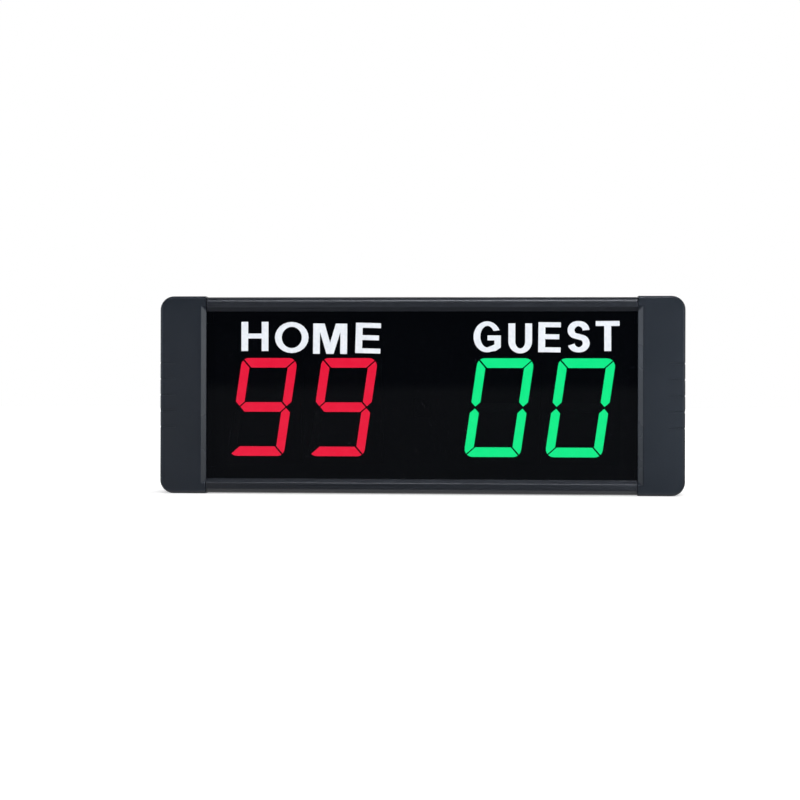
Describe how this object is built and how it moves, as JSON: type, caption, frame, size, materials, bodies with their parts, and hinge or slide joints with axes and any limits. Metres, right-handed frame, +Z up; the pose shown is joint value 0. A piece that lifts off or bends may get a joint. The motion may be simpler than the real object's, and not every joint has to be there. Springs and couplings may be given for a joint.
{
  "type": "electronic scoreboard",
  "caption": "Small tabletop electronic scoreboard: two lit two-digit scores behind a smoked window, black rails, grooved end caps, keys, charging port and fold-out stand on the back.",
  "frame": {"origin": "bottom centre of the whole object, on the surface that it stands on", "axes": "+X to the right of the display as its reader sees it, +Y to the back, +Z up"},
  "size_m": [0.1914, 0.0254, 0.0724],
  "materials": {
    "cap_plastic": "fine spark texture",
    "black_rail": "satin black anodised",
    "smoked_window": "gloss smoked acrylic",
    "panel_plastic": "fine texture",
    "digit_housing": "matte",
    "home_light": "diffuse resin",
    "guest_light": "diffuse resin",
    "white_print": "screen print",
    "board": "solder mask",
    "chip": "moulded epoxy",
    "steel": "plain steel",
    "key_rubber": "soft matte",
    "white_plastic": "nylon",
    "battery_wrap": "foil wrap",
    "foam": "foam tape",
    "red_lead": "insulation",
    "black_lead": "insulation"
  },
  "bodies": {
    "case": {"left_end_cap": "cap_plastic", "right_end_cap": "cap_plastic", "top_rail": "black_rail", "bottom_rail": "black_rail", "front_window": "smoked_window", "back_panel": "panel_plastic", "circuit_board": "board", "control_chip": "chip", "driver_chip": "chip", "charger_chip": "chip", "power_inductor": "chip", "crystal": "steel", "storage_capacitor": "steel", "buzzer": "chip", "infrared_receiver": "chip", "charging_port": "steel", "battery_pad": "foam", "battery_cell": "battery_wrap", "battery_socket": "white_plastic", "battery_plug": "white_plastic", "battery_lead_red": "red_lead", "battery_lead_black": "black_lead", "power_switch_body": "steel", "cap_screw_left_low": "steel", "cap_screw_left_high": "steel", "cap_screw_right_low": "steel", "cap_screw_right_high": "steel", "home_tens_housing": "digit_housing", "home_tens_diffuser": "home_light", "home_ones_housing": "digit_housing", "home_ones_diffuser": "home_light", "guest_tens_housing": "digit_housing", "guest_tens_diffuser": "guest_light", "guest_ones_housing": "digit_housing", "guest_ones_diffuser": "guest_light", "home_plus_switch": "chip", "home_minus_switch": "chip", "guest_plus_switch": "chip", "guest_minus_switch": "chip", "reset_switch": "chip"},
    "home_plus_button": {"home_plus_key": "key_rubber", "home_plus_plunger": "white_plastic"},
    "home_minus_button": {"home_minus_key": "key_rubber", "home_minus_plunger": "white_plastic"},
    "guest_plus_button": {"guest_plus_key": "key_rubber", "guest_plus_plunger": "white_plastic"},
    "guest_minus_button": {"guest_minus_key": "key_rubber", "guest_minus_plunger": "white_plastic"},
    "reset_button": {"reset_key": "key_rubber", "reset_plunger": "white_plastic"},
    "power_knob": {"power_slider": "key_rubber"},
    "stand": {"stand_leg": "panel_plastic"}
  },
  "joints": [
    {"name": "home_plus_press", "type": "slide", "parent": "case", "child": "home_plus_button", "axis": [0, -1, 0], "range_m": [0, 0.0005], "stiffness_N_per_m": 1500, "springref_m": -0.0005},
    {"name": "home_minus_press", "type": "slide", "parent": "case", "child": "home_minus_button", "axis": [0, -1, 0], "range_m": [0, 0.0005], "stiffness_N_per_m": 1500, "springref_m": -0.0005},
    {"name": "guest_plus_press", "type": "slide", "parent": "case", "child": "guest_plus_button", "axis": [0, -1, 0], "range_m": [0, 0.0005], "stiffness_N_per_m": 1500, "springref_m": -0.0005},
    {"name": "guest_minus_press", "type": "slide", "parent": "case", "child": "guest_minus_button", "axis": [0, -1, 0], "range_m": [0, 0.0005], "stiffness_N_per_m": 1500, "springref_m": -0.0005},
    {"name": "reset_press", "type": "slide", "parent": "case", "child": "reset_button", "axis": [0, -1, 0], "range_m": [0, 0.0005], "stiffness_N_per_m": 1500, "springref_m": -0.0005},
    {"name": "power_slide", "type": "slide", "parent": "case", "child": "power_knob", "axis": [1, 0, 0], "range_m": [0, 0.002]},
    {"name": "stand_hinge", "type": "hinge", "parent": "case", "child": "stand", "pos_m": [0, 0.0093, 0.058], "axis": [1, 0, 0], "range_deg": [0, 35]}
  ]
}
